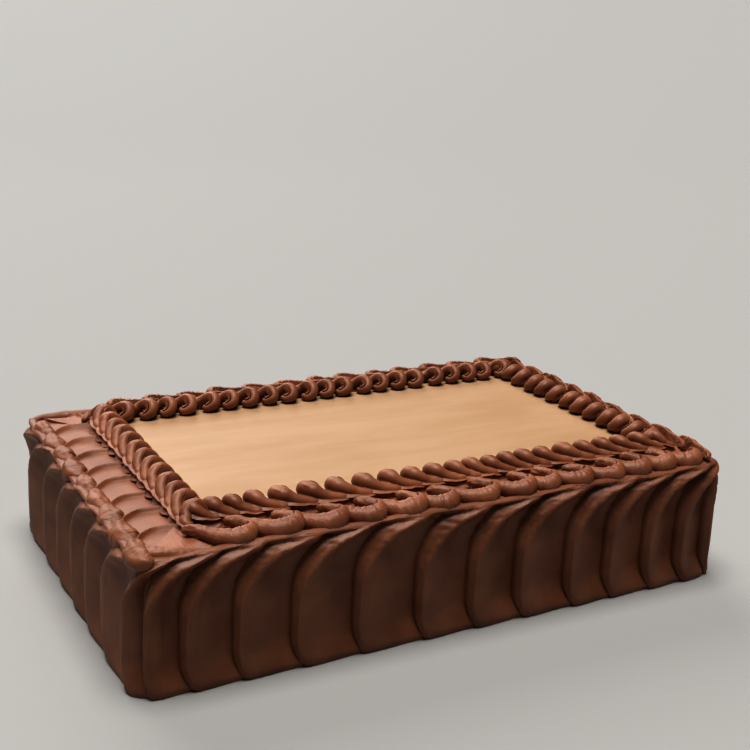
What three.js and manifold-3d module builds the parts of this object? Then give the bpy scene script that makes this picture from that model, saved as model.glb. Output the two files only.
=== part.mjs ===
// A chocolate sheet cake: an iced slab cake with spatula strokes round its sides and its top edge, a piped
// rope border inside them and a smooth lighter icing panel in the middle.
// Millimetres, +Z up. The origin is at the middle of the base, +X runs along the long front side to the
// right, and -Y is the front.
import * as THREE from "three";
import { mergeVertices } from "three/addons/utils/BufferGeometryUtils.js";
import Module from "manifold-3d";

// Driving dimensions.
const LENGTH = 457; // 18 in, the long side of a half sheet
const WIDTH = 300;
const CORNER_RADIUS = 22;
const COAT_TOP = 84; // level of the icing coat that the border lies on
const LIP_TOP = 88; // highest edge of the side strokes
const PANEL_TOP = 91;
const ROPE_TOP = 105;
const GAP = 0.3; // clearance between pieces that touch
const PAST = 10; // how far a cutting shape runs past what it cuts

// The rope ring: how far its outer edge lies inside each wall, and how wide the rope is.
const ROPE_INSET = { front: 35, right: 21, back: 28, left: 42 };
const ROPE_WIDTH = 26;
const ROPE_PITCH = 17.6;
const ROPE_SLANT = 15; // how far a turn moves along the rope between the panel side and the outer side

// Side strokes: where each one starts along the front and the left side, and the spacing used elsewhere.
const FRONT_STROKES = [2, 32, 66, 105, 148, 194, 234, 272, 314, 348, 383, 414, 443];
const LEFT_STROKES = [26, 74, 114, 153, 190, 229, 273];
const STROKE_PITCH = 38;
const STROKE_DEPTH = 7; // from a stroke's ridge to the bottom of the groove beside it
const SHOULDER_WIDTH = 33; // a stroke's ridge bends over to the right at its top
const SHOULDER_START = 0.72; // share of the height where it starts to bend
const FOOT_HOOK = 6; // how far a ridge's foot turns to the right
const FOOT_HEIGHT = 0.1;
const BASE_DRAFT = 1.5; // the coat draws in a little at the base
const LIP_START = 0.95; // share of the height where the lip starts to lean back
const LIP_LEAN = 1.6;
const LIP_SAG = 2.6; // how much lower the lip is over a groove than over a ridge
const LIP_THICKNESS = 2; // from the deepest groove to the flat of the coat

// Top-edge strokes: their spacing, and for each side the roll at a stroke's outer end: its radius, how far
// in its middle sits, its top level, and the radius of the thin rim that runs from it under the rope.
const ROLL_PITCH = 28;
const RUN_START = 13; // the first roll starts and the last one ends this far from the side's corners
const RUN_END = 18;
const ROLLS = {
  front: { radius: 6.6, inset: 7.6, top: 101.5, rim: 2.6 },
  right: { radius: 6.4, inset: 7.2, top: 101.5, rim: 2.6 },
  back: { radius: 6.8, inset: 8, top: 103.5, rim: 2.6 },
  left: { radius: 6.2, inset: 14, top: 97, rim: 2.2 },
};
const ROLL_SIDES = 6;
const ROLL_RINGS = 4;
const BED_TOP = 89.5; // floor of the dished strokes behind the rolls

const HALF = { x: LENGTH / 2, y: WIDTH / 2 };
const SIDES = [
  { name: "front", length: LENGTH, corner: [-HALF.x, -HALF.y], turn: 0 },
  { name: "right", length: WIDTH, corner: [HALF.x, -HALF.y], turn: Math.PI / 2 },
  { name: "back", length: LENGTH, corner: [HALF.x, HALF.y], turn: Math.PI },
  { name: "left", length: WIDTH, corner: [-HALF.x, HALF.y], turn: -Math.PI / 2 },
];

const darkIcing = () => new THREE.MeshStandardMaterial({ color: 0x4a2a1c, roughness: 0.55, metalness: 0 });
const tanIcing = () => new THREE.MeshStandardMaterial({ color: 0xd9a878, roughness: 0.6, metalness: 0 });

const wasm = await Module();
wasm.setup();

// A seeded draw from -1 to 1, the same on each run.
function draws(seed) {
  let state = seed >>> 0;
  return () => {
    state = (Math.imul(state, 1664525) + 1013904223) >>> 0;
    return state / 2147483648 - 1;
  };
}

// A closed three.js geometry as a solid that can be joined and cut, and back again.
function solid(geometry) {
  const plain = geometry.clone();
  plain.deleteAttribute("normal");
  plain.deleteAttribute("uv");
  const merged = mergeVertices(plain, 1e-3);
  return new wasm.Manifold(
    new wasm.Mesh({
      numProp: 3,
      vertProperties: merged.attributes.position.array,
      triVerts: new Uint32Array(merged.index.array),
    }),
  );
}

function geometryOf(made) {
  const mesh = made.getMesh();
  const geometry = new THREE.BufferGeometry();
  geometry.setAttribute("position", new THREE.BufferAttribute(new Float32Array(mesh.vertProperties), 3));
  geometry.setIndex(new THREE.BufferAttribute(new Uint32Array(mesh.triVerts), 1));
  geometry.computeVertexNormals();
  return geometry;
}

function join(solids) {
  return solids.reduce((sum, next) => sum.add(next));
}

// The main body of a cut solid, without scraps.
function largest(made) {
  return made.decompose().sort((a, b) => b.volume() - a.volume())[0];
}

// A closed cylinder whose rings and columns are laid where place(column, ring) says. Ring 0 is the lowest.
function laidCylinder(columns, rings, place) {
  const geometry = new THREE.CylinderGeometry(1, 1, rings, columns, rings);
  const at = geometry.attributes.position;
  const put = new THREE.Vector3();
  for (let i = 0; i < at.count; i++) {
    const [x, y, z] = [at.getX(i), at.getY(i), at.getZ(i)];
    const ring = Math.round(y + rings / 2);
    const centre = Math.hypot(x, z) < 0.5;
    const column = (Math.round((Math.atan2(x, z) / (2 * Math.PI)) * columns) + columns) % columns;
    place(put, centre ? -1 : column, ring);
    at.setXYZ(i, put.x, put.y, put.z);
  }
  return mergeVertices(stripped(geometry), 1e-4);
}

function stripped(geometry) {
  geometry.deleteAttribute("normal");
  geometry.deleteAttribute("uv");
  return geometry;
}

// A tube of changing radius along a smooth curve through points [along, in, up, radius].
function taperedTube(points, sides, rings) {
  const curve = new THREE.CatmullRomCurve3(points.map(([x, y, z]) => new THREE.Vector3(x, y, z)));
  const radii = new THREE.CatmullRomCurve3(points.map((p, i) => new THREE.Vector3(i, p[3], 0)));
  const frames = curve.computeFrenetFrames(rings, false);
  return laidCylinder(sides, rings, (put, column, ring) => {
    const share = ring / rings;
    curve.getPoint(share, put);
    if (column < 0) return;
    const angle = (column / sides) * 2 * Math.PI;
    const radius = radii.getPoint(share).y;
    put.addScaledVector(frames.normals[ring], radius * Math.cos(angle));
    put.addScaledVector(frames.binormals[ring], radius * Math.sin(angle));
  });
}

// ---- The iced cake: a rounded slab whose coat carries the side strokes ----

// The plan outline at a distance along the square perimeter, with its outward direction.
function wallAt(along) {
  let left = along;
  let side = 0;
  while (left >= SIDES[side].length) {
    left -= SIDES[side].length;
    side = (side + 1) % SIDES.length;
  }
  const { corner, turn } = SIDES[side];
  const x = corner[0] + Math.cos(turn) * left;
  const y = corner[1] + Math.sin(turn) * left;
  const inner = new THREE.Vector2(
    THREE.MathUtils.clamp(x, CORNER_RADIUS - HALF.x, HALF.x - CORNER_RADIUS),
    THREE.MathUtils.clamp(y, CORNER_RADIUS - HALF.y, HALF.y - CORNER_RADIUS),
  );
  const out = new THREE.Vector2(x, y).sub(inner).normalize();
  return { point: inner.addScaledVector(out, CORNER_RADIUS), out };
}

// Where every side stroke starts, in order round the cake from the front left corner.
function strokeStarts() {
  const leftStarts = LEFT_STROKES.map((start) => 2 * LENGTH + WIDTH + start);
  const draw = draws(7);
  const last = FRONT_STROKES.at(-1);
  const span = leftStarts[0] - last;
  const count = Math.round(span / STROKE_PITCH);
  const between = Array.from({ length: count - 1 }, (_, i) => last + ((i + 1) * span) / count + 3 * draw());
  return [...FRONT_STROKES, ...between, ...leftStarts];
}

// How far a ridge has moved along the wall at a share of the height: its foot hooks, its top bends over.
function ridgeShift(share) {
  const foot = Math.max(0, 1 - share / FOOT_HEIGHT);
  const top = Math.max(0, (share - SHOULDER_START) / (1 - SHOULDER_START));
  return FOOT_HOOK * foot ** 2 + SHOULDER_WIDTH * (1 - Math.sqrt(Math.max(0, 1 - top ** 2)));
}

// Columns across one stroke: the distance from its ridge's foot, in millimetres or as a share of its width,
// and the depth there as a share of the stroke depth.
const ACROSS = [
  { at: () => 0, depth: 1 },
  { at: () => 3, depth: 0.07 },
  { at: () => 7.5, depth: 0.14 },
  { at: () => 13, depth: 0.5 },
  { at: (width) => Math.max(0.62 * width, 15), depth: 0.82 },
];
const LEVELS = [0, 0.08, 0.3, 0.7, 0.82, 0.91, 0.975, 1];

function cakeBody() {
  const starts = strokeStarts();
  const perimeter = 2 * (LENGTH + WIDTH);
  const columns = starts.length * ACROSS.length;
  const rings = LEVELS.length;
  const geometry = laidCylinder(columns, rings, (put, column, ring) => {
    const onTop = ring === rings;
    const share = LEVELS[Math.min(ring, LEVELS.length - 1)];
    if (column < 0) {
      put.set(0, 0, onTop ? COAT_TOP : 0);
      return;
    }
    const stroke = Math.floor(column / ACROSS.length);
    const { at, depth } = ACROSS[column % ACROSS.length];
    const start = starts[stroke];
    const next = stroke + 1 < starts.length ? starts[stroke + 1] : starts[0] + perimeter;
    const along = start + at(next - start) + ridgeShift(share);
    const { point, out } = wallAt((along + perimeter) % perimeter);
    const flare = share < FOOT_HEIGHT ? BASE_DRAFT * (1 - share / FOOT_HEIGHT) : 0;
    const lean = (LIP_LEAN * Math.max(0, share - LIP_START)) / (1 - LIP_START);
    const sunk = onTop ? STROKE_DEPTH + LIP_THICKNESS : depth * STROKE_DEPTH + flare + lean;
    const crest = LIP_TOP - LIP_SAG * depth;
    put.set(point.x - out.x * sunk, point.y - out.y * sunk, onTop ? COAT_TOP : share * crest);
  });
  return solid(geometry);
}

// ---- The smooth panel: lighter icing spread inside the rope ----

function ropeRing(extra) {
  return {
    x0: -HALF.x + ROPE_INSET.left + extra,
    x1: HALF.x - ROPE_INSET.right - extra,
    y0: -HALF.y + ROPE_INSET.front + extra,
    y1: HALF.y - ROPE_INSET.back - extra,
  };
}

function topPanel() {
  const ring = ropeRing(ROPE_WIDTH / 2);
  const height = PANEL_TOP - COAT_TOP - GAP;
  const geometry = new THREE.BoxGeometry(ring.x1 - ring.x0, ring.y1 - ring.y0, height, 8, 5, 1);
  const at = geometry.attributes.position;
  for (let i = 0; i < at.count; i++) {
    if (at.getZ(i) < 0) continue;
    const wave = Math.sin(at.getX(i) * 0.023 + 0.8) * Math.cos(at.getY(i) * 0.031);
    at.setZ(i, at.getZ(i) - 0.5 + 0.45 * wave);
  }
  geometry.translate((ring.x0 + ring.x1) / 2, (ring.y0 + ring.y1) / 2, COAT_TOP + GAP + height / 2);
  return solid(geometry);
}

// ---- Runs along one side, in the side's own frame: x along it, y inwards, z up ----

// A mitred prism between two distances from the wall, from one level up to another.
function mitred(side, from, to, low, high) {
  const shape = new THREE.Shape([
    new THREE.Vector2(from.start + GAP, from.inset),
    new THREE.Vector2(side.length - from.end - GAP, from.inset),
    new THREE.Vector2(side.length - to.end - GAP, to.inset),
    new THREE.Vector2(to.start + GAP, to.inset),
  ]);
  const geometry = new THREE.ExtrudeGeometry(shape, { depth: high - low, bevelEnabled: false });
  geometry.translate(0, 0, low);
  return solid(geometry);
}

// A slab of the cake's rounded outline, some way inside the walls, in a side's own frame.
function outlineSlab(side, inset, low, high) {
  const shape = new THREE.Shape();
  const [x, y, r] = [HALF.x - inset, HALF.y - inset, Math.max(CORNER_RADIUS - inset, 4)];
  shape.absarc(x - r, y - r, r, 0, Math.PI / 2);
  shape.absarc(r - x, y - r, r, Math.PI / 2, Math.PI);
  shape.absarc(r - x, r - y, r, Math.PI, 1.5 * Math.PI);
  shape.absarc(x - r, r - y, r, 1.5 * Math.PI, 2 * Math.PI);
  const geometry = new THREE.ExtrudeGeometry(shape, { depth: high - low, bevelEnabled: false, curveSegments: 5 });
  geometry.translate(-side.corner[0], -side.corner[1], low);
  geometry.rotateZ(-side.turn);
  return solid(geometry);
}

// How far a ring line lies from the walls at a side's start and end, and from the side's own wall.
function ringFrom(side, extra) {
  const order = SIDES.map((s) => s.name);
  const here = order.indexOf(side.name);
  const before = order[(here + order.length - 1) % order.length];
  const after = order[(here + 1) % order.length];
  return {
    inset: ROPE_INSET[side.name] + extra,
    start: ROPE_INSET[before] + extra,
    end: ROPE_INSET[after] + extra,
  };
}

// One stroke: a thin rim from under the rope, swelling into a fat roll along the edge, with a curled end.
function roll(side, start, pitch, draw) {
  const { radius, inset, top, rim } = ROLLS[side.name];
  const reach = ROPE_INSET[side.name];
  const fat = radius * (1 + 0.07 * draw());
  const up = top - radius + 0.8 * draw();
  const low = BED_TOP + rim / 4;
  return taperedTube(
    [
      [start - 1, reach + 2, low, rim * 0.7],
      [start + 1, (reach + inset) / 2 + 3, low + 1, rim],
      [start + 5, inset + 3, (low + up) / 2 + 1, (rim + fat) / 2],
      [start + 0.42 * pitch, inset, up, fat],
      [start + 0.8 * pitch, inset + 0.5, up, fat * 0.97],
      [start + pitch, inset + 4, up + 1, fat * 0.55],
    ],
    ROLL_SIDES,
    ROLL_RINGS,
  );
}

function strokeRun(side, seed) {
  const draw = draws(seed);
  const base = COAT_TOP + GAP;
  const top = ROPE_TOP;
  const wall = { inset: 0, start: 0, end: 0 };
  const underRope = ringFrom(side, ROPE_WIDTH / 2 - GAP);
  const behindLip = outlineSlab(side, STROKE_DEPTH + LIP_THICKNESS + GAP, base, BED_TOP + GAP);
  const aboveLip = outlineSlab(side, GAP, LIP_TOP + GAP, top);
  const bed = mitred(side, wall, underRope, base, BED_TOP).intersect(behindLip);
  const count = Math.round((side.length - 2 * CORNER_RADIUS) / ROLL_PITCH);
  const pitch = (side.length - RUN_START - RUN_END) / count;
  const rolls = [];
  for (let i = 0; i < count; i++) {
    rolls.push(solid(roll(side, RUN_START + i * pitch + 1.5 * draw(), pitch, draw)));
  }
  const room = behindLip.add(aboveLip).intersect(mitred(side, wall, underRope, base, top));
  const ropeRoom = mitred(side, ringFrom(side, -GAP), ringFrom(side, ROPE_WIDTH + PAST), PANEL_TOP, top);
  return largest(bed.add(join(rolls).intersect(room)).subtract(ropeRoom));
}

// The rope: one body of slanting turns. Each turn swells from a groove into a head on the panel side, and
// sweeps outwards and on along the run, so its rings lie at a slant across the rope.
const ROPE_RINGS = [
  { at: 0, size: 0.7 },
  { at: 0.16, size: 1 },
  { at: 0.6, size: 0.98 },
];
const ROPE_COLUMNS = 8;

function ropeRun(side, seed) {
  const draw = draws(seed);
  const outer = ringFrom(side, GAP);
  const reach = side.length - outer.end - outer.start;
  const turns = Math.round((reach + ROPE_SLANT) / ROPE_PITCH);
  const rings = turns * ROPE_RINGS.length;
  const base = PANEL_TOP + GAP;
  const sizes = Array.from({ length: turns + 1 }, () => 1 + 0.06 * draw());
  const shifts = Array.from({ length: turns + 1 }, () => 1.2 * draw());
  const geometry = laidCylinder(ROPE_COLUMNS, rings, (put, column, ring) => {
    const turn = Math.floor(ring / ROPE_RINGS.length);
    const { at, size } = ROPE_RINGS[ring % ROPE_RINGS.length];
    const along = outer.start - ROPE_SLANT + ((turn + at) * (reach + ROPE_SLANT)) / turns + shifts[turn];
    const middle = outer.inset + ROPE_WIDTH / 2;
    if (column < 0) {
      put.set(along, middle, base + 1);
      return;
    }
    const over = Math.PI * (1 - column / (ROPE_COLUMNS - 1));
    const across = Math.cos(over);
    const high = Math.sin(over) ** 0.8 * (1 - 0.12 * across);
    const swell = size * sizes[turn];
    put.set(
      along + (ROPE_SLANT * (1 + across)) / 2,
      middle - (across * swell * ROPE_WIDTH) / 2,
      base + swell * high * (ROPE_TOP - base) * 0.95,
    );
  });
  const room = mitred(side, outer, ringFrom(side, ROPE_WIDTH - GAP), base, ROPE_TOP + PAST);
  return largest(solid(geometry).intersect(room));
}

// ---- The scene graph ----

const cake = new THREE.Group();

function addPiece(name, made, material, parent = cake) {
  const mesh = new THREE.Mesh(geometryOf(made), material);
  mesh.name = name;
  parent.add(mesh);
}

addPiece("cake_body", cakeBody(), darkIcing());
addPiece("top_panel", topPanel(), tanIcing());
SIDES.forEach((side, i) => {
  const group = new THREE.Group();
  group.position.set(side.corner[0], side.corner[1], 0);
  group.rotation.z = side.turn;
  cake.add(group);
  addPiece(`strokes_${side.name}`, strokeRun(side, 11 + i), darkIcing(), group);
  addPiece(`rope_${side.name}`, ropeRun(side, 31 + i), darkIcing(), group);
});

export default cake;
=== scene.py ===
import math

import bpy
from mathutils import Matrix, Vector, geometry, noise


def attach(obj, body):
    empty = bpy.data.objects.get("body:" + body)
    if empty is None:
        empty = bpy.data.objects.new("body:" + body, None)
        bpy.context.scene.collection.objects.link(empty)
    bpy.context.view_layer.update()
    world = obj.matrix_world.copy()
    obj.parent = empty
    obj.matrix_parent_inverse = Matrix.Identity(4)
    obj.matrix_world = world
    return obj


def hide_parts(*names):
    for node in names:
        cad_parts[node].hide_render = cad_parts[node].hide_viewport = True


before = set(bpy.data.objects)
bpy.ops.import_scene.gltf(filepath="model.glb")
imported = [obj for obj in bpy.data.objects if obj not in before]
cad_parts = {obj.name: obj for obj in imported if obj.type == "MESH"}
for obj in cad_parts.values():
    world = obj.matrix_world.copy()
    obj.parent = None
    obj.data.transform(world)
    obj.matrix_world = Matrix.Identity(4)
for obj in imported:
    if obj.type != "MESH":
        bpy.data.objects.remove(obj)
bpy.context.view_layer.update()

# ---- Iced cake ----
# A half-sheet slab cake under a thick coat of chocolate buttercream. Each stroke of the spatula went up
# the side and over to the right, so it left a raised ridge on its left, a lip over its top and a smooth
# scooped face. The next stroke laps over its right edge.
MM = 0.001  # all sizes are in millimetres, unless they say otherwise
LENGTH = 457  # 18 in
WIDTH = 300
HALF_X = LENGTH / 2
HALF_Y = WIDTH / 2
PERIMETER = 2 * (LENGTH + WIDTH)
CORNER_RADIUS = 22
COAT_TOP = 84

# Where the strokes that show start: from the front's left end, and from the left side's back end.
FRONT_STROKES = [2, 32, 66, 105, 148, 194, 234, 272, 314, 348, 383, 414, 443]
LEFT_STROKES = [26, 74, 114, 153, 190, 229, 273]
STROKE_PITCH = 38
START_VARIES = 3
LEAN_VARIES = 0.13
HEIGHT_VARIES = 0.011
DEPTH_VARIES = 0.08

# A ridge hooks to the right at its foot, stands up, bends to the right along a quarter ellipse, and runs
# on level as a lip that tapers out.
FOOT_HOOK = 8
FOOT_HEIGHT = 20
FOOT_HEIGHTS = [0, 0.8, 1.8, 3, 4.6, 6.6, 9, 12, 15.5, 19.5, 24, 29, 34.5]
BEND_START = 50
BEND_HEIGHT = 39
BEND_WIDTH = 35
BEND_ROWS = 42
TAIL_WIDTH = 15
TAIL_RISE = 1.2
TAIL_ROWS = 7

# Across a stroke: the ridge's round edge, its crest, a fine line that the blade left, the scooped face.
STROKE_DEPTH = 8.6
CREST_INSET = 0.6  # the proudest crests stand this far inside the square outline
RIDGE_ROUND = [(0, 2), (40, 2.8), (60, 5), (78, 8.5), (98, 8.5), (123, 2)]  # place along it, width
EDGE_CURVE = 1.35  # above 1, the round edge is steeper at its foot than at the crest
EDGE_OVERHANG = 0.9  # it bulges this far over the stroke before
LINE_DEPTH = 0.5
LINE_WIDTH = 0.8
LINE_FADE = (60, 75)  # the heights between which the line dies away
SCOOP_CHANGE = (45, 78)  # low down, a scoop takes the whole face; above these heights, just SCOOP_WIDTH
SCOOP_WIDTH = 9
SCOOP_CREASE = 0.2  # 0 makes the crest soft, 1 makes it a crease
FOOT_RELIEF = 0.25  # the relief dies away to these shares, at the foot and along the lip
LIP_RELIEF = 0.15
LIP_FADE = (86, 89.5)

# The top of the coat: its lip is rounded over and drops back to a ledge under the top-edge strokes.
LIP_ROUND = 4.2
LIP_HEIGHTS = (81, 90.6)
LIP_BACK = [(1.4, 0.5), (3.2, 0.6), (5.0, 0.1), (6.8, -1.4), (7.8, -3.4)]  # inwards and up from the lip
LEDGE_INSET = 13
LEDGE_RISE = 0.3

# The skin: slow waves in the coat, the marks of the blade, torn beads on the ridges, a ragged foot.
WAVE_DEPTH = 0.35
WAVE_LENGTH = 34
WAVE_HEIGHT = 30
BLADE_MARK_DEPTH = 0.1
BLADE_MARK_WIDTH = 1.2
BLADE_MARK_HEIGHT = 24
BEAD_DEPTH = 0.95
BEAD_WIDTH = 2.4
BEAD_LENGTH = 2.1
BEAD_START = (52, 70)  # along the ridge
BEAD_STOP = (114, 122)
BEAD_REACH = 3  # past the crest
RAGGED_HEIGHT = 4
RAGGED_INSET = 1.1
RAGGED_DEPTH = 0.9
RAGGED_LENGTH = 3.5

# The grid: columns from ridge to ridge. They crowd in a band beside the crest, where the relief is finest;
# it ends at the fine line. Its widths are given by height.
BAND_WIDTHS = [(0, 1.2), (10, 2.5), (22, 5.5), (45, 8), (60, 9.5), (76, 11.5), (84, 17), (89, 22)]
WIDEST_BAND = 0.7  # as a share of the stroke's width
BAND_COLUMNS = 12
BAND_CROWDING = 1.6
FACE_COLUMNS = 14
STROKE_COLUMNS = BAND_COLUMNS + FACE_COLUMNS


def draws(seed):
    """Gives a function that draws from -most to most, the same on each run, by a linear congruence."""
    state = seed

    def draw(most=1):
        nonlocal state
        state = (state * 1664525 + 1013904223) % 2**32
        return most * (state / 2**31 - 1)

    return draw


def rippled(depth, *place):
    """A smooth ripple, up to that depth either way. The place is in lengths of the ripple. Where it is a
    flat one, its third number is a key that picks the ripples."""
    return depth * noise.noise(Vector(place))


def between(low, high, share):
    """A share of the way from low to high."""
    return low + (high - low) * share


def eased(low, high, value):
    """0 below low, 1 above high, and a soft step between them."""
    share = min(max((value - low) / (high - low), 0), 1)
    return share * share * (3 - 2 * share)


def looked_up(table, value):
    """Reads a table of (place, amount) rows by straight lines between them."""
    for (x0, y0), (x1, y1) in zip(table, table[1:]):
        if value <= x1:
            return between(y0, y1, max(value - x0, 0) / (x1 - x0))
    return table[-1][1]


def laid_grid(name, columns, rows, place):
    """Adds a grid and lays each vertex where place(column, row) says, in millimetres."""
    bpy.ops.object.select_all(action="DESELECT")
    bpy.ops.mesh.primitive_grid_add(x_subdivisions=columns, y_subdivisions=rows, size=2)
    piece = bpy.context.object
    piece.name = piece.data.name = name
    for vertex in piece.data.vertices:
        column = round((vertex.co.x + 1) / 2 * columns)
        row = round((vertex.co.y + 1) / 2 * rows)
        vertex.co = Vector(place(column, row)) * MM
    return piece


def close_up(fill=False):
    """Merges the new grid's seam and poles, closes open ends if asked, and turns its faces outwards."""
    bpy.ops.object.mode_set(mode="EDIT")
    bpy.ops.mesh.select_all(action="SELECT")
    bpy.ops.mesh.remove_doubles(threshold=1e-6)
    if fill:
        bpy.ops.mesh.fill_holes(sides=0)
    bpy.ops.mesh.select_all(action="SELECT")
    bpy.ops.mesh.normals_make_consistent(inside=False)
    bpy.ops.object.mode_set(mode="OBJECT")


def wall_at(along):
    """The point of the rounded outline at a distance along its square perimeter, and the way out."""
    x, y, left = -HALF_X, -HALF_Y, along % PERIMETER
    for step_x, step_y, run in ((1, 0, LENGTH), (0, 1, WIDTH), (-1, 0, LENGTH), (0, -1, WIDTH)):
        part = min(left, run)
        x, y, left = x + step_x * part, y + step_y * part, left - part
    inner_x = min(max(x, CORNER_RADIUS - HALF_X), HALF_X - CORNER_RADIUS)
    inner_y = min(max(y, CORNER_RADIUS - HALF_Y), HALF_Y - CORNER_RADIUS)
    out = Vector((x - inner_x, y - inner_y)).normalized()
    return Vector((inner_x, inner_y)) + out * CORNER_RADIUS, out


def stroke_starts():
    """Where each side stroke starts, in order round the cake from the front left corner."""
    left_starts = [2 * LENGTH + WIDTH + start for start in LEFT_STROKES]
    draw = draws(seed=7)
    last = FRONT_STROKES[-1]
    span = left_starts[0] - last
    count = round(span / STROKE_PITCH)
    hidden = [last + (i + 1) * span / count + draw(START_VARIES) for i in range(count - 1)]
    return FRONT_STROKES + hidden + left_starts


def ridge_rows():
    """The rows of a stroke from its foot to its lip: how far the ridge has gone right, and its height."""
    rows = [(FOOT_HOOK * max(0, 1 - height / FOOT_HEIGHT) ** 2, height) for height in FOOT_HEIGHTS]
    for i in range(BEND_ROWS + 1):
        turn = math.pi / 2 * i / BEND_ROWS
        rows.append((BEND_WIDTH * (1 - math.cos(turn)), BEND_START + BEND_HEIGHT * math.sin(turn)))
    for i in range(1, TAIL_ROWS + 1):
        share = i / TAIL_ROWS
        rows.append((BEND_WIDTH + TAIL_WIDTH * share, BEND_START + BEND_HEIGHT + TAIL_RISE * share))
    return rows


draw = draws(seed=23)
strokes = [
    {
        "start": start,
        "lean": 1 + draw(LEAN_VARIES),
        "height": 1 + draw(HEIGHT_VARIES),
        "depth": STROKE_DEPTH * (1 + draw(DEPTH_VARIES)),
    }
    for start in stroke_starts()
]
stroke_count = len(strokes)
strokes += [dict(stroke, start=stroke["start"] + PERIMETER) for stroke in strokes[:2]]

rows = ridge_rows()
ridge = [Vector((shift, height, 0)) for shift, height in rows]
ridge_lengths = [0]
for low, high in zip(ridge, ridge[1:]):
    ridge_lengths.append(ridge_lengths[-1] + (high - low).length)

ROWS_BELOW = 4  # the nearest part of a ridge may be this many rows below
PAST_NEAREST = 6  # the search ends once the ridge is this much further off


def beside_ridge(across, row):
    """How far a spot of a stroke is from the edge of its ridge, and how far up the ridge that is."""
    spot = ridge[row] + Vector((across, 0, 0))
    nearest = (math.inf, 0)
    for k in range(max(row - ROWS_BELOW, 0), len(ridge) - 1):
        part = min(max(geometry.intersect_point_line(spot, ridge[k], ridge[k + 1])[1], 0), 1)
        gap = (ridge[k].lerp(ridge[k + 1], part) - spot).length
        nearest = min(nearest, (gap, between(ridge_lengths[k], ridge_lengths[k + 1], part)))
        if gap > nearest[0] + PAST_NEAREST:
            break
    return nearest


def stroke_depth(gap, edge, height, width, deep):
    """How far the icing lies behind the crest of its ridge: less and less over the round edge, nothing at
    the crest, then more and more down the scooped face, but for the fine line on it."""
    if gap < edge:
        return deep * (1 - gap / edge) ** EDGE_CURVE
    scoop = between(max(width - edge, SCOOP_WIDTH), SCOOP_WIDTH, eased(*SCOOP_CHANGE, height))
    share = min((gap - edge) / scoop, 1)
    line = LINE_DEPTH * math.exp(-(((gap - looked_up(BAND_WIDTHS, height)) / LINE_WIDTH) ** 2))
    line *= 1 - eased(*LINE_FADE, height)
    return deep * between(eased(0, 1, share), 1 - (1 - share) ** 2, SCOOP_CREASE) - line


def skin_depth(point, across, high, gap, reach, edge, key):
    """The unevenness of the coat at a spot. The key gives each stroke marks and beads of its own."""
    beaded = eased(*BEAD_START, reach) * (1 - eased(*BEAD_STOP, reach))
    beaded *= 1 - eased(edge, edge + BEAD_REACH, gap)
    waves = rippled(WAVE_DEPTH, point.x / WAVE_LENGTH, point.y / WAVE_LENGTH, high / WAVE_HEIGHT)
    marks = rippled(BLADE_MARK_DEPTH, across / BLADE_MARK_WIDTH, high / BLADE_MARK_HEIGHT, key)
    return waves + marks + rippled(BEAD_DEPTH * beaded, gap / BEAD_WIDTH, reach / BEAD_LENGTH, key)


def lay_coat(column, row):
    """Where a vertex of the coat goes. The columns follow the ridges, so each ridge is a clean edge."""
    number, step = divmod(column, STROKE_COLUMNS)
    this, after = strokes[number], strokes[number + 1]
    width = after["start"] - this["start"]
    past_lip = row - len(rows)
    row = min(row, len(rows) - 1)
    shift, height = rows[row]
    band = min(looked_up(BAND_WIDTHS, height), WIDEST_BAND * width)
    if step < BAND_COLUMNS:
        across = band * (step / BAND_COLUMNS) ** BAND_CROWDING
    else:
        across = between(band, width, (step - BAND_COLUMNS) / FACE_COLUMNS)
    lean, tall, deep = (between(this[k], after[k], across / width) for k in ("lean", "height", "depth"))
    high = height * tall
    deep *= between(FOOT_RELIEF, 1, eased(0, FOOT_HEIGHT, height))
    deep *= between(1, LIP_RELIEF, eased(*LIP_FADE, height))

    gap, reach = beside_ridge(across, row)
    edge = looked_up(RIDGE_ROUND, reach)
    depth = stroke_depth(gap, edge, height, width, deep)
    bulge = 4 * depth / deep * (1 - depth / deep) if gap < edge / 2 else 0
    point, out = wall_at(this["start"] + across + shift * lean - EDGE_OVERHANG * bulge)
    depth += skin_depth(point, across, high, gap, reach, edge, key=3.7 * (number % stroke_count))
    ragged = RAGGED_INSET + rippled(RAGGED_DEPTH, point.x / RAGGED_LENGTH, point.y / RAGGED_LENGTH, 0)
    depth += ragged * (1 - eased(0, RAGGED_HEIGHT, height))
    rounded = LIP_ROUND * (1 - math.sqrt(1 - eased(*LIP_HEIGHTS, high) ** 2))
    depth = max(depth, 0) + CREST_INSET + rounded

    if 0 <= past_lip < len(LIP_BACK):
        back, rise = LIP_BACK[past_lip]
        depth = min(depth + back, LEDGE_INSET)
        high += rise
    elif past_lip >= len(LIP_BACK):
        depth = LEDGE_INSET
        high = COAT_TOP + LEDGE_RISE
    spot = point - out * depth
    return spot.x, spot.y, high


coat = laid_grid("iced_cake", stroke_count * STROKE_COLUMNS, len(rows) + len(LIP_BACK), lay_coat)
close_up(fill=True)

DARK_CHOCOLATE = "#75472D"
MID_CHOCOLATE = "#8E5D40"
# How light the icing is, with light and shade painted in: the side coat darker, as painted shade on its
# faces, and the piped rolls and rope lighter, as painted light on their round tops. The troughs keep the
# plain colour.
COAT_PAINTED_SHADE = 0.94
SCOOPED = 1
PIPED_PAINTED_LIGHT = 1.14
CLOUD_SIZE = 30
MARK_SPACING = 1.2  # the real marks and bubbles are finer, and wouldn't show
MARK_LENGTH = 20
BUBBLE_SIZE = 1.1
BUBBLE_SHARE = 0.4  # how much of the bump is bubbles


def linear(code):
    """An sRGB hex colour as linear red, green, blue and full alpha."""
    parts = [int(code[i : i + 2], 16) / 255 for i in (1, 3, 5)]
    return [c / 12.92 if c < 0.04045 else ((c + 0.055) / 1.055) ** 2.4 for c in parts] + [1]


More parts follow.
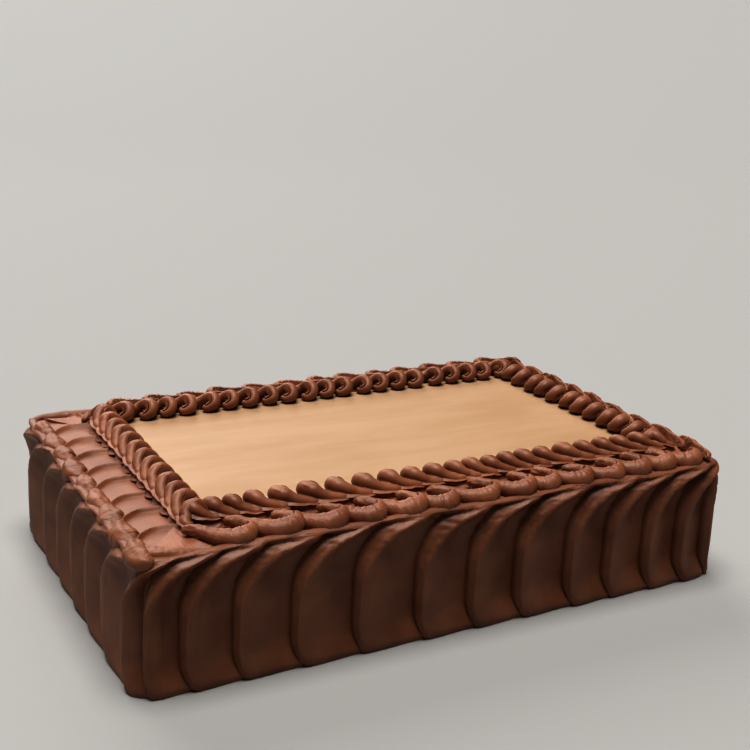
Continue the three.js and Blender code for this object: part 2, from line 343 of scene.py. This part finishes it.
def repeats(size):
    """How many times a pattern of this size fits into a metre."""
    return 1 / (size * MM)


def add_node(material, kind, values=None, links=None, **settings):
    """Adds a node with its settings, the values of its sockets and what is linked into them."""
    node = material.node_tree.nodes.new(kind)
    for name, value in settings.items():
        setattr(node, name, value)
    for name, value in (values or {}).items():
        node.inputs[name].default_value = value
    for name, source in (links or {}).items():
        material.node_tree.links.new(source, node.inputs[name])
    return node


def chocolate_buttercream(name, drag_axis, lightness, mark_depth=0.4):
    """Whipped butter, sugar and cocoa: a soft satin skin, clouded brown, with the fine marks of the tool
    drawn along it and small burst bubbles."""
    material = bpy.data.materials.new(name)
    material.use_nodes = True
    shader = material.node_tree.nodes["Principled BSDF"]
    shader.inputs["Roughness"].default_value = 0.5
    shader.inputs["IOR"].default_value = 1.46
    shader.inputs["Specular IOR Level"].default_value = 0.6
    place = add_node(material, "ShaderNodeTexCoord").outputs["Object"]
    cloud = add_node(
        material, "ShaderNodeTexNoise", {"Scale": repeats(CLOUD_SIZE), "Detail": 3}, {"Vector": place}
    )
    ramp = add_node(material, "ShaderNodeValToRGB", links={"Fac": cloud.outputs["Fac"]})
    # The lightness scales both browns: painted shade on the coat, painted light on the rolls and rope.
    for element, colour in zip(ramp.color_ramp.elements, (DARK_CHOCOLATE, MID_CHOCOLATE)):
        element.color = [part * lightness for part in linear(colour)[:3]] + [1]
    ramp.color_ramp.elements[0].position = 0.3
    ramp.color_ramp.elements[1].position = 0.7
    material.node_tree.links.new(ramp.outputs["Color"], shader.inputs["Base Color"])
    stretch = [repeats(MARK_SPACING)] * 3
    stretch["xyz".index(drag_axis)] = repeats(MARK_LENGTH)
    drawn = add_node(material, "ShaderNodeMapping", {"Scale": stretch}, {"Vector": place})
    marks = add_node(
        material, "ShaderNodeTexNoise", {"Scale": 1, "Detail": 2}, {"Vector": drawn.outputs["Vector"]}
    )
    bubbles = add_node(
        material, "ShaderNodeTexNoise", {"Scale": repeats(BUBBLE_SIZE), "Detail": 2}, {"Vector": place}
    )
    both = add_node(
        material, "ShaderNodeMath", {1: BUBBLE_SHARE},
        {0: bubbles.outputs["Fac"], 2: marks.outputs["Fac"]}, operation="MULTIPLY_ADD",
    )
    bump = add_node(
        material, "ShaderNodeBump", {"Strength": 0.35, "Distance": mark_depth * MM},
        {"Height": both.outputs["Value"]},
    )
    material.node_tree.links.new(bump.outputs["Normal"], shader.inputs["Normal"])
    return material


def finish_piece(piece, material, nodes, sharp):
    """Gives a piece its finish, keeps edges sharper than that many degrees, lets it ride on the cake and
    stand for its solids."""
    piece.data.materials.clear()
    piece.data.materials.append(material)
    bpy.ops.object.select_all(action="DESELECT")
    piece.select_set(True)
    bpy.context.view_layer.objects.active = piece
    bpy.ops.object.shade_smooth_by_angle(angle=math.radians(sharp))
    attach(piece, "root")
    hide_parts(*nodes)


# Painted shade: the coat's brown is darkened for the shade on its faces.
coat_icing = chocolate_buttercream("chocolate_buttercream_coat", "z", COAT_PAINTED_SHADE)
finish_piece(coat, coat_icing, ["cake_body"], sharp=60)

# ---- Panel ----
# The smooth middle of the top: a lighter caramel buttercream, spread with a long palette knife in
# strokes along the cake, up to and under the rope.
ROPE_INSET = {"front": 35, "right": 21, "back": 28, "left": 42}  # from the wall to the rope's outer edge
ROPE_WIDTH = 26
ROPE_MIDDLE = ROPE_WIDTH / 2
PANEL_LEVEL = 90.5
PANEL_THICKNESS = 6
PANEL_COLUMNS = 180
PANEL_ROWS = 120
SWELL_DEPTH = 0.45
SWELL_SIZE = (90, 45)
TRAIL_DEPTH = 0.07
TRAIL_SIZE = (60, 7)
panel_x = (ROPE_INSET["left"] + ROPE_MIDDLE - HALF_X, HALF_X - ROPE_INSET["right"] - ROPE_MIDDLE)
panel_y = (ROPE_INSET["front"] + ROPE_MIDDLE - HALF_Y, HALF_Y - ROPE_INSET["back"] - ROPE_MIDDLE)


def lay_panel(column, row):
    """Where a vertex of the panel goes, with slow swells and the long trails of the knife."""
    x = between(*panel_x, column / PANEL_COLUMNS)
    y = between(*panel_y, row / PANEL_ROWS)
    swell = rippled(SWELL_DEPTH, x / SWELL_SIZE[0], y / SWELL_SIZE[1], 3)
    trail = rippled(TRAIL_DEPTH, x / TRAIL_SIZE[0], y / TRAIL_SIZE[1], 8)
    return x, y, PANEL_LEVEL + swell + trail


def thicken(thickness):
    """Draws the new grid's rim down and closes it below."""
    bpy.ops.object.mode_set(mode="EDIT")
    bpy.ops.mesh.select_mode(type="EDGE")
    bpy.ops.mesh.select_all(action="DESELECT")
    bpy.ops.mesh.select_non_manifold()
    bpy.ops.mesh.extrude_region_move(TRANSFORM_OT_translate={"value": (0, 0, -thickness * MM)})
    bpy.ops.object.mode_set(mode="OBJECT")
    close_up(fill=True)


panel = laid_grid("caramel_panel", PANEL_COLUMNS, PANEL_ROWS, lay_panel)
thicken(PANEL_THICKNESS)

CARAMEL = "#A98B6D"
CARAMEL_STREAK = "#A38464"
STREAK_SIZE = (100, 20, 100)  # the knife went along x
RIPPLE_SIZE = (30, 1.2, 30)


def caramel_buttercream():
    """Caramel buttercream, smoothed flat: matte, pale tan, with faint darker streaks where the knife
    went along, and very fine ripples."""
    material = bpy.data.materials.new("caramel_buttercream")
    material.use_nodes = True
    shader = material.node_tree.nodes["Principled BSDF"]
    shader.inputs["Roughness"].default_value = 0.55
    shader.inputs["IOR"].default_value = 1.46
    place = add_node(material, "ShaderNodeTexCoord").outputs["Object"]
    along = add_node(
        material, "ShaderNodeMapping", {"Scale": [repeats(size) for size in STREAK_SIZE]}, {"Vector": place}
    )
    streaks = add_node(
        material, "ShaderNodeTexNoise", {"Scale": 1, "Detail": 4, "Distortion": 0.4},
        {"Vector": along.outputs["Vector"]},
    )
    ramp = add_node(material, "ShaderNodeValToRGB", links={"Fac": streaks.outputs["Fac"]})
    ramp.color_ramp.elements[0].color = linear(CARAMEL_STREAK)
    ramp.color_ramp.elements[1].color = linear(CARAMEL)
    ramp.color_ramp.elements[0].position = 0.35
    ramp.color_ramp.elements[1].position = 0.6
    material.node_tree.links.new(ramp.outputs["Color"], shader.inputs["Base Color"])
    fine = add_node(
        material, "ShaderNodeMapping", {"Scale": [repeats(size) for size in RIPPLE_SIZE]}, {"Vector": place}
    )
    ripples = add_node(
        material, "ShaderNodeTexNoise", {"Scale": 1, "Detail": 2}, {"Vector": fine.outputs["Vector"]}
    )
    bump = add_node(
        material, "ShaderNodeBump", {"Strength": 0.2, "Distance": 0.3 * MM},
        {"Height": ripples.outputs["Fac"]},
    )
    material.node_tree.links.new(bump.outputs["Normal"], shader.inputs["Normal"])
    return material


finish_piece(panel, caramel_buttercream(), ["top_panel"], sharp=40)

# ---- Top-edge strokes ----
# Short strokes of the same icing and spatula round the edge of the top. Each pushed up a roll that starts
# beside the rope, swells as it comes out to the edge and curls back round the scooped hollow behind it.
SIDES = {  # the corner that a side starts from, which way it runs, its length
    "front": ((-HALF_X, -HALF_Y), 0, LENGTH),
    "right": ((HALF_X, -HALF_Y), math.pi / 2, WIDTH),
    "back": ((HALF_X, HALF_Y), math.pi, LENGTH),
    "left": ((-HALF_X, HALF_Y), -math.pi / 2, WIDTH),
}
FRONT_ROLL_ENDS = [78, 109, 140, 167, 197, 222, 254, 284, 305, 332, 360, 383, 406, 430]
EVEN_PITCH = 29  # on the other sides
EVEN_MARGINS = (13, 18)  # what they leave free at the first and the last corner
END_VARIES = 2

# A roll's route, from its end: along, in from the wall as a share of the way to the rope, up, radius. It
# is drawn for this pitch, and stretched for others.
SCOOP_PITCH = 28
ROLL_ROUTE = [
    (-35, 0.92, 8.8, 2.2),
    (-32.5, 0.84, 10.6, 3.6),
    (-27, 0.71, 10.2, 4.4),
    (-19, 0.55, 8.2, 5.4),
    (-11, 0.42, 7.0, 6.6),
    (-4, 0.38, 7.4, 7.3),
    (1.4, 0.44, 9.0, 6.4),
    (3.6, 0.55, 10.8, 4.4),
    (3.0, 0.66, 11.4, 2.4),
]
ROLL_SIDES = 30
ROLL_ROWS = 88
SLIMMEST = 0.28  # rolls are slimmer where the rope runs nearer the wall, and full size at WIDE_REACH
WIDE_REACH = 42
SWELL_VARIES = 0.08
LIFT_VARIES = 0.6
SLIDE_VARIES = 0.8
ROUTE_VARIES = (0.5, 0.3)  # inwards and up, from point to point
ROUTE_STEP = 0.01  # the share of a route over which its direction is taken
END_ROUND = 0.05  # the share over which each end is rounded
HOLLOW_SIDE = 282  # degrees from straight up
HOLLOW_HALF = 64
MARKS_ACROSS = (0.1, 30, 0.7)  # how deep lumps are in radii, how close along a roll and round it
TORN_START = (0.24, 12, 1.6)
TORN_UNTIL = (0.1, 0.45)


def on_side(name, spot):
    """Turns a spot along, in and up from a side's own corner into the cake's frame."""
    (corner_x, corner_y), turn, _ = SIDES[name]
    along, inwards, up = spot
    x = corner_x + math.cos(turn) * along - math.sin(turn) * inwards
    y = corner_y + math.sin(turn) * along + math.cos(turn) * inwards
    return x, y, up


def smooth_route(points, share):
    """A point of the Catmull-Rom curve through the points, with any numbers that they carry."""
    place = share * (len(points) - 1)
    i = min(int(place), len(points) - 2)
    t = place - i
    before, here, there, after = (points[max(min(i + k, len(points) - 1), 0)] for k in (-1, 0, 1, 2))
    return [
        0.5 * (2 * b + (c - a) * t + (2 * a - 5 * b + 4 * c - d) * t * t + (3 * b - a - 3 * c + d) * t**3)
        for a, b, c, d in zip(before, here, there, after)
    ]


def swept(name, side, points, columns, rows_along, outline, outwards):
    """Sweeps an outline along a route of (along, in, up, radius) points. outline(column, share) gives an
    angle and its reach in radii; outwards(spot) is the way that angle 0 faces."""

    def lay(column, row):
        share = row / rows_along
        *spot, radius = smooth_route(points, share)
        spot = Vector(spot)
        ahead = Vector(smooth_route(points, min(share + ROUTE_STEP, 1))[:3])
        behind = Vector(smooth_route(points, max(share - ROUTE_STEP, 0))[:3])
        forward = (ahead - behind).normalized()
        up = outwards(spot)
        up = (up - forward * up.dot(forward)).normalized()
        across = forward.cross(up)
        near_end = max(0, END_ROUND - min(share, 1 - share)) / END_ROUND
        dome = math.sqrt(max(0, 1 - near_end**2))
        angle, reach = outline(column % columns, share)
        spot += (up * math.cos(angle) + across * math.sin(angle)) * reach * max(radius, 0) * dome
        return on_side(side, spot)

    piece = laid_grid(name, columns, rows_along, lay)
    close_up()
    return piece


def join_all(name, pieces):
    """Joins the pieces of a run into one mesh."""
    bpy.ops.object.select_all(action="DESELECT")
    for piece in pieces:
        piece.select_set(True)
    bpy.context.view_layer.objects.active = pieces[0]
    bpy.ops.object.join()
    piece = bpy.context.object
    piece.name = piece.data.name = name
    return piece


def lumpy(lumps, share, angle, key):
    """How far the lumps of a roll's skin stand out at a place along it and an angle round it."""
    depth, along, around = lumps
    return rippled(depth, share * along, around * math.cos(angle), key + around * math.sin(angle))


def roll_outline(key):
    """Round on the outside and scooped on the side of the hollow, with marks across it and a torn start.
    The key gives each roll lumps of its own."""

    def outline(column, share):
        angle = 2 * math.pi * column / ROLL_SIDES
        off = (angle - math.radians(HOLLOW_SIDE) + math.pi) % (2 * math.pi) - math.pi
        reach = 1
        if abs(off) < math.radians(HOLLOW_HALF):
            reach = math.cos(math.radians(HOLLOW_HALF)) / math.cos(off)
        reach += lumpy(MARKS_ACROSS, share, angle, key)
        reach += lumpy(TORN_START, share, angle, key) * (1 - eased(*TORN_UNTIL, share))
        return angle, reach

    return outline


def straight_up(spot):
    """The same way everywhere, for a roll that lies flat."""
    return Vector((0, 0, 1))


def roll_at(side, end, pitch, reach, draw, route, outline):
    """Lays one roll, a little unlike its neighbours. The route's way inwards is a share of reach."""
    swell = (1 + draw(SWELL_VARIES)) * min(1, SLIMMEST + ROPE_INSET[side] / WIDE_REACH)
    lift = draw(LIFT_VARIES)
    slide = draw(SLIDE_VARIES)
    points = [
        (
            end + along * pitch / SCOOP_PITCH,
            inwards * reach + slide + draw(ROUTE_VARIES[0]),
            COAT_TOP + up + lift + draw(ROUTE_VARIES[1]),
            radius * swell,
        )
        for along, inwards, up, radius in route
    ]
    return swept("roll", side, points, ROLL_SIDES, ROLL_ROWS, outline, straight_up)


def ends_along(side):
    """Where each stroke of a side ends. Those of the front are uneven, and the others nearly even."""
    if side == "front":
        return FRONT_ROLL_ENDS
    run = SIDES[side][2] - sum(EVEN_MARGINS)
    draw = draws(seed=len(side))
    count = round(run / EVEN_PITCH)
    return [EVEN_MARGINS[0] + (i + 1) * run / count + draw(END_VARIES) for i in range(count)]


# The bed that the rolls lie on is a row of shallow troughs between the wall and the rope. Each has a thin
# raised rim at its start, falls away just past it and rises slowly to the next.
RIM_WIDTHS = (2.2, 1.3)  # before and past the rim's crest
FALL_LENGTH = 2.2
RISE_CURVE = 1.7
BED_COLUMN = 0.9
BED_ROW = 1.2
BED_THICKNESS = 4
MITRE = 0.9  # how far a bed's ends draw in for each millimetre inwards
SHOULDER = 9  # how far in from its outer edge a bed is rounded over
PATCH_DEPTH = 0.3
PATCH_SIZE = (14, 16)
STREAK_DEPTH = 0.12
BED_STREAK = (1.8, 20)


def trough_height(along, rims, drop, crest):
    """How high a row of troughs is at a place along it, from the level of the rims' feet."""
    for before, rim in zip(rims, rims[1:]):
        if along < rim:
            gone, left = along - before, rim - along
            share = max(0, min(gone / (rim - before), 1))
            fall = drop * (1 - math.exp(-max(gone, 0) / FALL_LENGTH)) * (1 - share**RISE_CURVE)
            raised = math.exp(-((gone / RIM_WIDTHS[1]) ** 2)) + math.exp(-((left / RIM_WIDTHS[0]) ** 2))
            return crest * raised - fall
    return 0


def bed_of(side, top, drop, crest, edge_drop, bend, outer):
    """Lays a side's bed, from outer in to the middle of the rope. The rims stand at top with a crest on
    them, the troughs are a drop lower, and the outer edge an edge_drop. The rims bend along the side,
    from bend[0] out to bend[1], by bend[2]."""
    length = SIDES[side][2]
    ends = ends_along(side)
    inner = ROPE_INSET[side] + ROPE_MIDDLE
    columns = round(length / BED_COLUMN)
    rows_in = round((inner - outer) / BED_ROW)
    pitch = ends[1] - ends[0]
    rims = [ends[0] - k * pitch for k in (3, 2, 1)] + ends + [ends[-1] + k * pitch for k in (1, 2)]
    bend_start, bend_stop, bend_length = bend

    def lay(column, row):
        inwards = between(outer, inner, row / rows_in)
        corner = outer + (inwards - outer) * MITRE
        along = between(corner, length - corner, column / columns)
        bent = min(max((bend_start - inwards) / (bend_start - bend_stop), 0), 1)
        up = top + trough_height(along - bend_length * bent * bent, rims, drop, crest)
        up += edge_drop * (eased(outer, outer + SHOULDER, inwards) - 1)
        up += rippled(PATCH_DEPTH, along / PATCH_SIZE[0], inwards / PATCH_SIZE[1], len(side))
        up += rippled(STREAK_DEPTH, along / BED_STREAK[0], inwards / BED_STREAK[1], len(side))
        return on_side(side, (along, inwards, up))

    piece = laid_grid("bed", columns, rows_in, lay)
    thicken(BED_THICKNESS)
    return piece


# Painted light: the rolls' brown is lightened for the light on their round tops.
roll_icing = chocolate_buttercream("chocolate_buttercream_rolls", "y", PIPED_PAINTED_LIGHT, mark_depth=1)
for number, side in enumerate(("front", "right", "back")):
    draw = draws(seed=50 + number)
    ends = ends_along(side)
    pieces = [bed_of(side, top=91.2, drop=2.0, crest=0.8, edge_drop=3, bend=(24, 12, 8), outer=9.6)]
    for i, end in enumerate(ends):
        if side == "back" and end > LENGTH - ROPE_INSET["left"] - ROPE_WIDTH:
            continue  # the left side's strokes take that corner
        pitch = end - ends[i - 1] if i else SCOOP_PITCH
        outline = roll_outline(key=5.3 * i + number)
        pieces.append(roll_at(side, end, pitch, ROPE_INSET[side], draw, ROLL_ROUTE, outline))
    run = join_all(f"{side}_strokes", pieces)
    finish_piece(run, roll_icing, [f"strokes_{side}"], sharp=50)

# ---- Left edge strokes ----
# On the left side the same strokes of icing are longer and flatter: broad shallow troughs, each behind a
# thin rim, that end in a row of round knobs along the edge.
KNOB_ROUTE = [  # from its end: along, in from the wall, up, radius
    (-20, 16.8, 3.4, 1.6),
    (-15, 14.0, 3.6, 4.2),
    (-8, 12.2, 3.0, 6.2),
    (-1, 11.8, 2.8, 6.8),
    (5, 12.4, 3.0, 6.2),
    (9, 14.6, 3.6, 4.4),
    (11, 17.6, 4.0, 1.8),
]
KNOB_BREADTH = 1.2  # against its height
KNOB_LUMPS = (0.22, 4, 1.4)
KNOB_MARKS = (0.05, 26, 1.5)
CORNER_ROUTE = [  # the last one wraps the front corner: along the front, in from it, up, radius
    (13, 27, 3.5, 3),
    (15.5, 21, 4.2, 5),
    (21, 14, 4.4, 5.2),
    (31, 11, 4.2, 4.4),
    (43, 10, 3.6, 3),
    (54, 9.6, 3.2, 1.2),
]


def knob_outline(key):
    """Broader than high, and lumpy."""

    def outline(column, share):
        angle = 2 * math.pi * column / ROLL_SIDES
        reach = 1 + (KNOB_BREADTH - 1) * math.sin(angle) ** 2
        reach += lumpy(KNOB_LUMPS, share, angle, key) + lumpy(KNOB_MARKS, share, angle, key)
        return angle, reach

    return outline


draw = draws(seed=61)
ends = ends_along("left")
pieces = [bed_of("left", top=90.4, drop=2.2, crest=1.2, edge_drop=1.5, bend=(33, 17, 11), outer=11)]
for i, end in enumerate(ends):
    pitch = end - ends[i - 1] if i else SCOOP_PITCH
    pieces.append(roll_at("left", end, pitch, 1, draw, KNOB_ROUTE, knob_outline(key=4.1 * i)))
corner_roll = [(along, inwards, COAT_TOP + up, radius) for along, inwards, up, radius in CORNER_ROUTE]
outline = knob_outline(key=77)
pieces.append(swept("roll", "front", corner_roll, ROLL_SIDES, ROLL_ROWS, outline, straight_up))
run = join_all("left_strokes", pieces)
trough_icing = chocolate_buttercream("chocolate_buttercream_troughs", "x", SCOOPED)
finish_piece(run, trough_icing, ["strokes_left"], sharp=50)

# ---- Rope border ----
# The border round the panel: whipped chocolate buttercream, piped from a star tip in overlapping turns.
# Each turn starts inside the arch of the one before, comes up on the panel side, curls over in a round
# head and sweeps outwards and on, down to the outer edge.
ROPE_PITCH = 17.6
ROPE_BASE = 91
ROPE_CORE = 90  # the height of the line that the turns wrap
ROPE_TOP = 105.1
FIRST_HEAD = 7  # past the middle of the side before
FRONT_HEADS = [57, 70, 83.5, 98.5, 117, 137, 157, 177, 196, 213.5, 231, 247, 261, 276, 290, 304.5, 321]
FRONT_HEADS += [340, 357.5, 374, 390.5, 407.5, 423]
HEAD_VARIES = 1.6
TURN_VARIES = (0.4, 0.4, 0.3)  # along, inwards and up
THICKNESS_FOLLOWS = 0.4  # the share of a wider spacing that a turn is thicker by
THICKNESS_VARIES = 0.05
LAST_TAIL = 13  # the last turn of a side stops short of the corner
TURN_ROWS = 44
# A turn's route, from its head: along, in from the rope's outer edge, up, radius.
TURN_ROUTE = [
    (5.0, 16.0, 3.0, 2.4),
    (3.0, 19.5, 3.0, 4.0),
    (-1.4, 20.0, 5.2, 5.4),
    (-2.6, 16.6, 7.8, 6.3),
    (-1.4, 12.6, 8.1, 6.3),
    (2.2, 9.2, 6.0, 5.2),
    (6.6, 7.4, 3.8, 4.9),
    (11.6, 6.2, 2.4, 4.8),
    (16.6, 6.0, 1.9, 4.5),
    (21.6, 7.6, 1.4, 3.4),
    (25.5, 10.6, 0.6, 2.0),
]
TAIL_END = TURN_ROUTE[-1][0]

# The star's two fins that show, in degrees from straight out, along the turn: one runs from under the
# head down to the tail, the other is the ruffle at the foot. Two more lie hidden, so far past the ruffle.
TOP_FIN = [(0, 120), (0.3, 118), (0.4, 110), (0.5, 82), (0.6, 38), (0.7, 12), (0.8, 4), (1, 10)]
RUFFLE = [(0, 180), (0.3, 178), (0.4, 166), (0.5, 130), (0.6, 84), (0.7, 60), (0.8, 50), (1, 46)]
HIDDEN_FINS = (75, 150)
# How far a fin's edge flares, where along the turn, for how long, and from what height of the fin. The
# dome's own top doesn't: it lies before FLARE_START of the way to the next fin.
FLARES = [(0.34, 0.5, 0.22, 0.95), (0.6, 0.7, 0.18, 0.84), (0, 0.5, 1, 0.84), (0, 0.5, 1, 0.84)]
FLARE_START = 0.6
# From one fin to the next, as shares of the way and of the height. The dome is the first of the four.
DOME_SHAPE = [(-0.04, 0), (0.04, 0.55), (0.14, 0.82), (0.26, 0.95), (0.4, 1), (0.54, 1), (0.68, 0.93)]
DOME_SHAPE += [(0.8, 0.8), (0.91, 0.66), (0.97, 0.97), (1, 1)]
FIN_SHAPE = [(-0.03, 0.1), (0.05, 0.22), (0.15, 0.36), (0.28, 0.5), (0.42, 0.62), (0.56, 0.72), (0.7, 0.79)]
FIN_SHAPE += [(0.82, 0.85), (0.92, 0.92), (0.97, 0.99), (1, 1)]
FIN_DEPTH = 0.5
TURN_COLUMNS = len(FLARES) * len(FIN_SHAPE)


def star_outline(column, share):
    """A star whose fins lean over like shingles, so that each ends in a crisp edge over the next."""
    number, step = divmod(column, len(FIN_SHAPE))
    ruffle = looked_up(RUFFLE, share)
    fins = [looked_up(TOP_FIN, share), ruffle, ruffle + HIDDEN_FINS[0], ruffle + HIDDEN_FINS[1]]
    start = fins[number - 1] - (360 if number == 0 else 0)
    at, height = (DOME_SHAPE if number == 0 else FIN_SHAPE)[step]
    flare, place, spread, low = FLARES[number]
    flare *= math.exp(-(((share - place) / spread) ** 2))
    tip = eased(low, 1, height) if at > FLARE_START else 0
    reach = 1 - FIN_DEPTH * (1 - height) + flare * tip
    return math.radians(between(start, fins[number], at)), reach


def heads_along(side, start, stop):
    """Where each turn's head stands. Those of the front are uneven, as they were piped."""
    if side == "front":
        return FRONT_HEADS
    draw = draws(seed=90 + len(side))
    count = round((stop - start) / ROPE_PITCH)
    return [start + (stop - start) * i / count + draw(HEAD_VARIES) for i in range(count + 1)]


def stretch_at(heads, i):
    """How far apart the heads stand here, against the usual pitch."""
    near = heads[max(i - 1, 0) : i + 2]
    return (near[-1] - near[0]) / ROPE_PITCH / (len(near) - 1)


def away_from(core):
    """The way out from a line that runs along a side."""
    return lambda spot: (spot - core) * Vector((0, 1, 1))


ORDER = list(SIDES)
for number, side in enumerate(ORDER):
    draw = draws(seed=80 + number)
    inset = ROPE_INSET[side]
    core = Vector((0, inset + ROPE_MIDDLE, ROPE_CORE))
    start = ROPE_INSET[ORDER[number - 1]] + ROPE_MIDDLE + FIRST_HEAD
    stop = SIDES[side][2] - ROPE_INSET[ORDER[(number + 1) % 4]] - ROPE_MIDDLE
    heads = heads_along(side, start, stop)
    turns = []
    for i, head in enumerate(heads):
        stretch = stretch_at(heads, i)
        swell = between(1, stretch, THICKNESS_FOLLOWS) + draw(THICKNESS_VARIES)
        shortened = LAST_TAIL / TAIL_END if i == len(heads) - 1 else 1
        points = [
            (
                head + along * shortened * stretch + draw(TURN_VARIES[0]),
                inset + inwards + draw(TURN_VARIES[1]),
                ROPE_BASE + up + draw(TURN_VARIES[2]),
                radius * swell,
            )
            for along, inwards, up, radius in TURN_ROUTE
        ]
        turns.append(swept("turn", side, points, TURN_COLUMNS, TURN_ROWS, star_outline, away_from(core)))
    rope = join_all(f"{side}_rope", turns)
    for vertex in rope.data.vertices:
        vertex.co.z = min(vertex.co.z, ROPE_TOP * MM)
    # Painted light: the rope's brown is lightened for the light on the tops of its turns.
    rope_icing = chocolate_buttercream(f"chocolate_buttercream_{side}_rope", "z", PIPED_PAINTED_LIGHT)
    finish_piece(rope, rope_icing, [f"rope_{side}"], sharp=38)

# ---- Table and light ----
# A plain pale table top that rises very gently far away, so that it fills the picture, lit by a broad
# soft light from above, a lower one from behind, and a weak pale sky.
TABLE_SIZE = 60  # these three in metres
TABLE_FLAT = 2.5
TABLE_DROP = 0.0003  # below the cake, so that the two never share a face
TABLE_SQUARES = 120
TABLE_RISE = 0.07  # metres up for each metre out
TABLE_PAINT = "#9C9A97"
SKY = "#F4F2EF"
SKY_STRENGTH = 0.05
SOFTBOX_AWAY = 2  # m
SOFTBOXES = [  # the way to it, how wide it looks in degrees, strength
    ("overhead_softbox", (-0.05, -0.05, 1.0), 38, 4.9),
    ("rear_softbox", (0.04, 0.84, 0.54), 44, 2.0),
]

bpy.ops.object.select_all(action="DESELECT")
bpy.ops.mesh.primitive_grid_add(x_subdivisions=TABLE_SQUARES, y_subdivisions=TABLE_SQUARES, size=TABLE_SIZE)
table_top = bpy.context.object
table_top.name = table_top.data.name = "table_top"
for vertex in table_top.data.vertices:
    vertex.co.z = TABLE_RISE * max(0, vertex.co.xy.length - TABLE_FLAT) - TABLE_DROP
bpy.ops.object.shade_smooth()

# Matt emulsion paint, rolled on: no gloss, so only the soft shadow of the cake shows in it.
paint = bpy.data.materials.new("pale_matt_paint")
paint.use_nodes = True
paint.node_tree.nodes["Principled BSDF"].inputs["Base Color"].default_value = linear(TABLE_PAINT)
paint.node_tree.nodes["Principled BSDF"].inputs["Roughness"].default_value = 0.9
table_top.data.materials.append(paint)

world = bpy.data.worlds.new("pale_sky")
bpy.context.scene.world = world
world.use_nodes = True
world.node_tree.nodes["Background"].inputs["Color"].default_value = linear(SKY)
world.node_tree.nodes["Background"].inputs["Strength"].default_value = SKY_STRENGTH

for name, way, width, strength in SOFTBOXES:
    bpy.ops.object.light_add(type="SUN", location=Vector(way) * SOFTBOX_AWAY)
    softbox = bpy.context.object
    softbox.name = softbox.data.name = name
    softbox.data.energy = strength
    softbox.data.angle = math.radians(width)
    softbox.rotation_euler = Vector(way).to_track_quat("Z", "Y").to_euler()

# ---- Camera ----
# It stands in front of the cake and to its left, a little above the top, and looks down on it with a
# slight tilt, as a photographer with a short telephoto lens does.
EYE = Vector((-0.4083, -0.7778, 0.3966))  # m
HEADING = math.radians(28.03)  # to the right of straight ahead
LOOK_DOWN = math.radians(16.26)
TILT = math.radians(2.08)
LENS = 58.9
SENSOR = 36
NEAREST = 0.01  # m
PICTURE_GAMMA = 0.66  # below 1, the browns are deeper and the picture has more contrast

bpy.ops.object.select_all(action="DESELECT")
bpy.ops.object.camera_add(location=EYE)
camera = bpy.context.object
aim = Matrix.Rotation(-HEADING, 3, "Z") @ Matrix.Rotation(math.pi / 2 - LOOK_DOWN, 3, "X")
camera.rotation_euler = (aim @ Matrix.Rotation(TILT, 3, "Z")).to_euler()
camera.data.lens = LENS
camera.data.sensor_width = SENSOR
camera.data.clip_start = NEAREST
bpy.context.scene.camera = camera
bpy.context.scene.view_settings.view_transform = "Standard"
bpy.context.scene.view_settings.gamma = PICTURE_GAMMA
